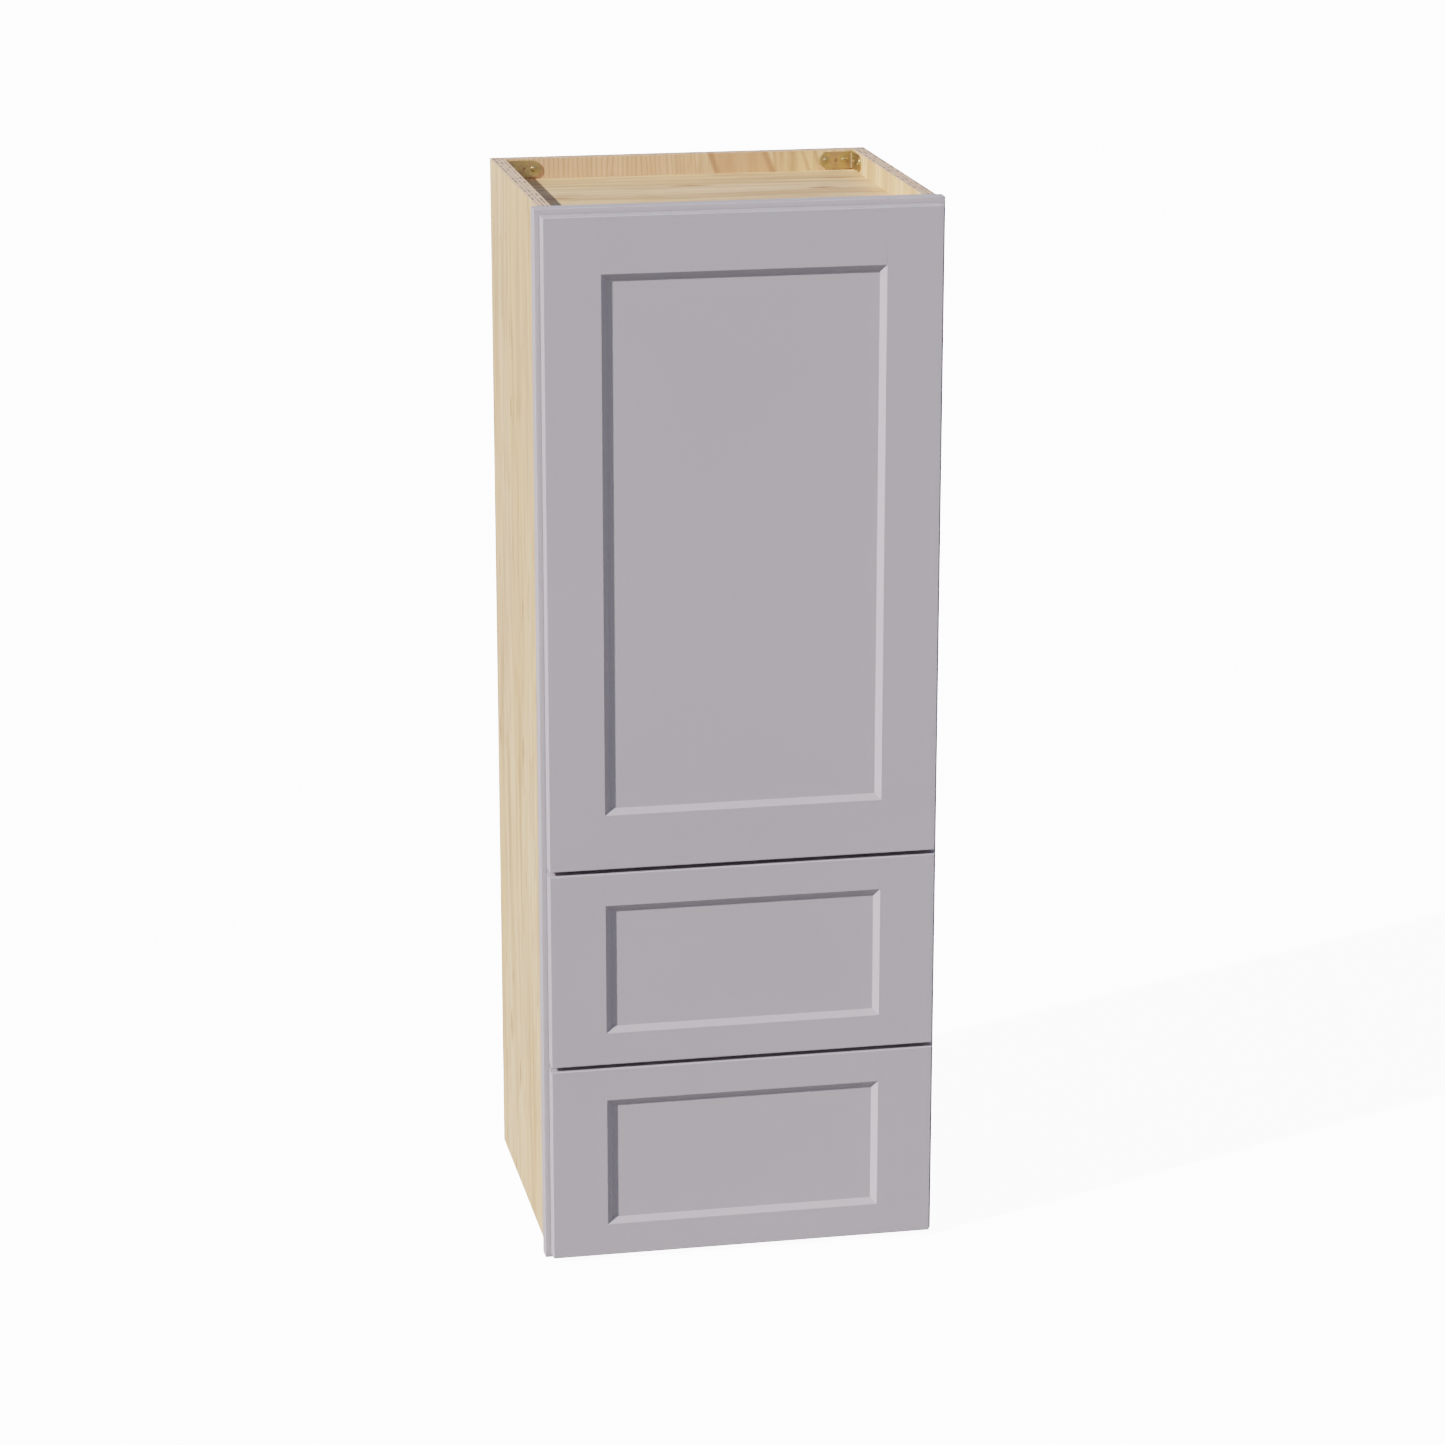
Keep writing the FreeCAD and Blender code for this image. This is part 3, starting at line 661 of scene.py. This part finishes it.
def screwMesh(headRadius, headThick, shankRadius, length):
    # one screw, head up, its highest point at the origin
    curve = [math.radians(d) for d in screwHead["domeAngles"]]
    drop = screwHead["domeDrop"] * headThick / (1 - math.cos(curve[-1]))
    head = [(headRadius * math.sin(a), -drop * (1 - math.cos(a))) for a in curve]
    head += [(headRadius, -headThick * screwHead["rimDrop"]),
             (headRadius * screwHead["underside"], -headThick), (0.0, -headThick)]
    shape = bmesh.new()
    spinProfile(shape, head, screwHead["sides"])
    whole = meshObject("screw blank", shape)
    cutter = crossCutter(headRadius * screwHead["recessReach"], headRadius * screwHead["recessHalf"],
                         headThick * screwHead["recessDeep"])
    carve = whole.modifiers.new("recess", "BOOLEAN")
    carve.object = cutter
    carve.operation = "DIFFERENCE"
    carve.solver = "EXACT"
    graph = bpy.context.evaluated_depsgraph_get()
    carved = bpy.data.meshes.new_from_object(whole.evaluated_get(graph))
    for scrap in (whole, cutter):
        bpy.data.objects.remove(scrap)
    # ridges of the thread, one by one down the shank
    depth = -headThick
    root = shankRadius * (1 - screwHead["threadDeep"])
    count = max(2, int((length - headThick) / screwHead["threadPitch"]) - 1)
    pitch = (length - headThick) / (count + 1.5)
    shank = [(0.0, depth + headThick * 0.1), (root, depth + headThick * 0.1)]
    for turn in range(count):
        shank += [(root, depth - pitch * 0.55), (shankRadius, depth - pitch * 0.75)]
        depth -= pitch
        shank.append((root, depth))
    shank += [(shankRadius * 0.5, -length + pitch * 0.5), (0.0, -length)]
    shape = bmesh.new()
    spinProfile(shape, shank, screwHead["sides"] // 2)
    bmesh.ops.recalc_face_normals(shape, faces=shape.faces)
    shape.from_mesh(carved)
    shape.to_mesh(carved)
    shape.free()
    return carved


def turnTo(direction, twist):
    return direction.to_track_quat("Z", "Y").to_matrix().to_4x4() @ Matrix.Rotation(twist, 4, "Z")


def detailScrews(nodeName, pieceName, body, twistSeed):
    chance = random.Random(twistSeed)
    shape = bmesh.new()
    made = {}
    for points in islands(nodes[nodeName]):
        top, direction, headRadius, thick, shank, length = screwFacts(points)
        key = tuple(round(value, 4) for value in (headRadius, thick, shank, length))
        if key not in made:
            made[key] = screwMesh(*key)
        copy = made[key].copy()
        copy.transform(Matrix.Translation(top) @ turnTo(direction, chance.uniform(0, math.pi / 2)))
        shape.from_mesh(copy)
        bpy.data.meshes.remove(copy)
    piece = meshObject(pieceName, shape, sharedLooks[slotOf[nodeName]], screwHead["sharpAngle"])
    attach(piece, body)
    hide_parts(nodeName)


screwSets = {
    "bracket_screws": ("bracketScrewsCross", "cabinet"),
    "slide_screws": ("slideScrewsCross", "cabinet"),
    "hinge_arm_screws": ("hingeArmScrewsCross", "cabinet"),
    "hinge_cup_screws": ("hingeCupScrewsCross", "door"),
    "upper_drawer_screws": ("upperDrawerScrewsCross", "upper_drawer"),
    "lower_drawer_screws": ("lowerDrawerScrewsCross", "lower_drawer"),
}
for number, (nodeName, (pieceName, body)) in enumerate(screwSets.items()):
    detailScrews(nodeName, pieceName, body, 40 + number)
print("screws made")


# ball cages in the drawer slides

ballCage = {
    "outerRadius": 0.00165,         # balls between the cabinet and middle members, metres
    "outerIn": 0.0062,              # in from the cabinet member's web
    "outerUp": 0.0194,              # from the slide's centre line
    "outerRun": (0.175, 0.330),     # along the middle member, from its front end
    "innerRadius": 0.00190,         # balls between the middle and drawer members
    "innerIn": 0.0078,
    "innerUp": 0.01415,
    "innerRun": (0.020, 0.165),
    "spacing": 0.0085,
    "endRoom": 0.008,
    "stripHalf": 0.0024,
    "stripThick": 0.0006,
    "windowShare": 0.93,            # window radius as a share of the ball's
    "windowSides": 12,
    "sharpAngle": 40.0,
}


def ballShape(around=16, rings=9):
    # points and faces of a ball of radius 1
    points = [Vector((0, 0, 1))]
    for ring in range(1, rings):
        a = math.pi * ring / rings
        points += [Vector((math.sin(a) * math.cos(2 * math.pi * k / around),
                           math.sin(a) * math.sin(2 * math.pi * k / around), math.cos(a)))
                   for k in range(around)]
    points.append(Vector((0, 0, -1)))
    last = len(points) - 1
    faces = []
    for k in range(around):
        n = (k + 1) % around
        faces.append((0, 1 + k, 1 + n))
        faces.append((last, last - around + n, last - around + k))
        for ring in range(rings - 2):
            row = 1 + ring * around
            faces.append((row + k, row + around + k, row + around + n, row + n))
    return points, faces


ball = ballShape()


def cageStrip(points, faces, x, z, y0, y1, radius):
    # thin strip with a round window for each ball, and the balls in it
    pitch = ballCage["spacing"]
    count = int((y1 - y0 - ballCage["endRoom"]) / pitch)
    first = (y0 + y1 - (count - 1) * pitch) / 2
    half = ballCage["stripHalf"]
    thick = ballCage["stripThick"] / 2
    window = radius * ballCage["windowShare"]
    sides = ballCage["windowSides"]
    for k in range(count):
        middle = first + k * pitch
        start = len(points)
        for level in (-thick, thick):
            for s in range(sides):
                a = 2 * math.pi * (s + 0.5) / sides
                c, n = math.cos(a), math.sin(a)
                grow = 1.0 / max(abs(c), abs(n))
                points.append((x + window * c, middle + window * n, z + level))
                points.append((x + half * c * grow, middle + pitch / 2 * n * grow, z + level))
        for s in range(sides):
            low, lowNext = start + 2 * s, start + 2 * ((s + 1) % sides)
            high, highNext = low + 2 * sides, lowNext + 2 * sides
            faces.append((low, low + 1, lowNext + 1, lowNext))
            faces.append((high, highNext, highNext + 1, high + 1))
            faces.append((low, lowNext, highNext, high))
            faces.append((low + 1, high + 1, highNext + 1, lowNext + 1))
        start = len(points)
        points += [(x + radius * p.x, middle + radius * p.y, z + radius * p.z) for p in ball[0]]
        faces += [tuple(start + index for index in face) for face in ball[1]]


def makeCages(prefix, name):
    low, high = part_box(prefix + "_middle_slide_members")
    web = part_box(prefix + "_cabinet_slide_members")[1].x
    centre = (low.z + high.z) / 2
    points = []
    faces = []
    for side in (-1, 1):
        for up in (-1, 1):
            for kind in ("outer", "inner"):
                x = side * (web - ballCage[kind + "In"])
                z = centre + up * ballCage[kind + "Up"]
                start, stop = ballCage[kind + "Run"]
                cageStrip(points, faces, x, z, low.y + start, low.y + stop, ballCage[kind + "Radius"])
    mesh = bpy.data.meshes.new(name)
    mesh.from_pydata(points, [], faces)
    mesh.materials.append(steel)
    mesh.shade_smooth()
    mesh.set_sharp_from_angle(angle=math.radians(ballCage["sharpAngle"]))
    piece = bpy.data.objects.new(name, mesh)
    scene.collection.objects.link(piece)
    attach(piece, prefix + "_slide_middle")


for prefix in ("upper", "lower"):
    makeCages(prefix, prefix + "BallCages")
print("ball cages made")


# floor, light and camera

studio = {
    "floorSize": 120.0,
    "floorSquares": 8,
    "floorBounce": (0.25, 0.25, 0.255),
    "floorSeen": (2.2, 2.2, 2.21),
    "floorGlow": 6.2,
    "wallGlow": 9.0,
    "fill": (0.935, 1.000, 1.065),
    "zenith": (0.560, 0.740, 1.120),
    "fillStrength": 0.275,
    "fillLean": (0.28, 0.10, 0.0),    # a little brighter from the right
    "sunTravel": (0.784, 0.327, -0.529),
    "sunStrength": 5.70,
    "sunAngle": 1.2,
    "frontTravel": (-0.06, 0.96, -0.26),
    "frontStrength": 0.27,
    "frontAngle": 30.0,
}
view = {  # from the front, a little to the left and above
    "place": (-0.9127, -4.6777, 1.9635),
    "forward": (0.1867, 0.9421, -0.27856),
    "right": (0.98096, -0.19422, 0.00059),
    "lens": 105.938,
    "sensor": 36.0,
    "farEnd": 200.0,
}

floorShape = bmesh.new()
bmesh.ops.create_grid(floorShape, x_segments=studio["floorSquares"],
                      y_segments=studio["floorSquares"], size=studio["floorSize"] / 2)
floor = meshObject("floor", floorShape)
floorFinish = bpy.data.materials.new("pale floor")
floorFinish.use_nodes = True
floorTree = floorFinish.node_tree
floorTree.nodes.remove(floorTree.nodes["Principled BSDF"])
onFloor = Wire(floorTree)
bounced = onFloor.add("ShaderNodeBsdfDiffuse", None, {"Color": studio["floorBounce"] + (1.0,)})
lit = onFloor.add("ShaderNodeBsdfDiffuse", None, {"Color": studio["floorSeen"] + (1.0,)})
glow = onFloor.add("ShaderNodeEmission", None, {"Strength": studio["floorGlow"]})
seen = onFloor.add("ShaderNodeAddShader", None, {0: lit, 1: glow})
straight = onFloor.add("ShaderNodeLightPath", output="Is Camera Ray")
mixed = onFloor.add("ShaderNodeMixShader", None, {0: straight, 1: bounced, 2: seen})
floorTree.links.new(mixed.socket, floorTree.nodes["Material Output"].inputs["Surface"])
floor.data.materials.append(floorFinish)

world = bpy.data.worlds.new("studio")
scene.world = world
world.use_nodes = True
worldTree = world.node_tree
around = Wire(worldTree)
toward = around.add("ShaderNodeTexCoord", output="Generated")
lean = toward.add("ShaderNodeVectorMath", {"operation": "DOT_PRODUCT"},
                  {0: toward, 1: studio["fillLean"]}, "Value")
skyward = toward.parts()[2].step(0.0, 1.0)
fill = around.add("ShaderNodeBackground", None,
                  {"Color": skyward.blend(studio["fill"], studio["zenith"]),
                   "Strength": (lean + 1.0) * studio["fillStrength"]})
white = around.add("ShaderNodeBackground", None, {"Color": (1.0, 1.0, 1.0, 1.0),
                                                  "Strength": studio["wallGlow"]})
direct = around.add("ShaderNodeLightPath", output="Is Camera Ray")
both = around.add("ShaderNodeMixShader", None, {0: direct, 1: fill, 2: white})
worldTree.links.new(both.socket, worldTree.nodes["World Output"].inputs["Surface"])


def addSun(name, travel, strength, angle):
    data = bpy.data.lights.new(name, "SUN")
    data.energy = strength
    data.angle = math.radians(angle)
    light = bpy.data.objects.new(name, data)
    light.rotation_mode = "QUATERNION"
    light.rotation_quaternion = Vector(travel).to_track_quat("-Z", "Y")
    scene.collection.objects.link(light)


addSun("key light", studio["sunTravel"], studio["sunStrength"], studio["sunAngle"])
addSun("front light", studio["frontTravel"], studio["frontStrength"], studio["frontAngle"])

lensData = bpy.data.cameras.new("camera")
lensData.lens = view["lens"]
lensData.sensor_width = view["sensor"]
lensData.clip_end = view["farEnd"]
camera = bpy.data.objects.new("camera", lensData)
right = Vector(view["right"]).normalized()
back = -Vector(view["forward"]).normalized()
up = back.cross(right)
turn = Matrix((right, up, back)).transposed().to_4x4()
camera.matrix_world = Matrix.Translation(view["place"]) @ turn
scene.collection.objects.link(camera)
scene.camera = camera
scene.view_settings.view_transform = "Filmic"
scene.view_settings.look = "Medium High Contrast"
print("studio ready")
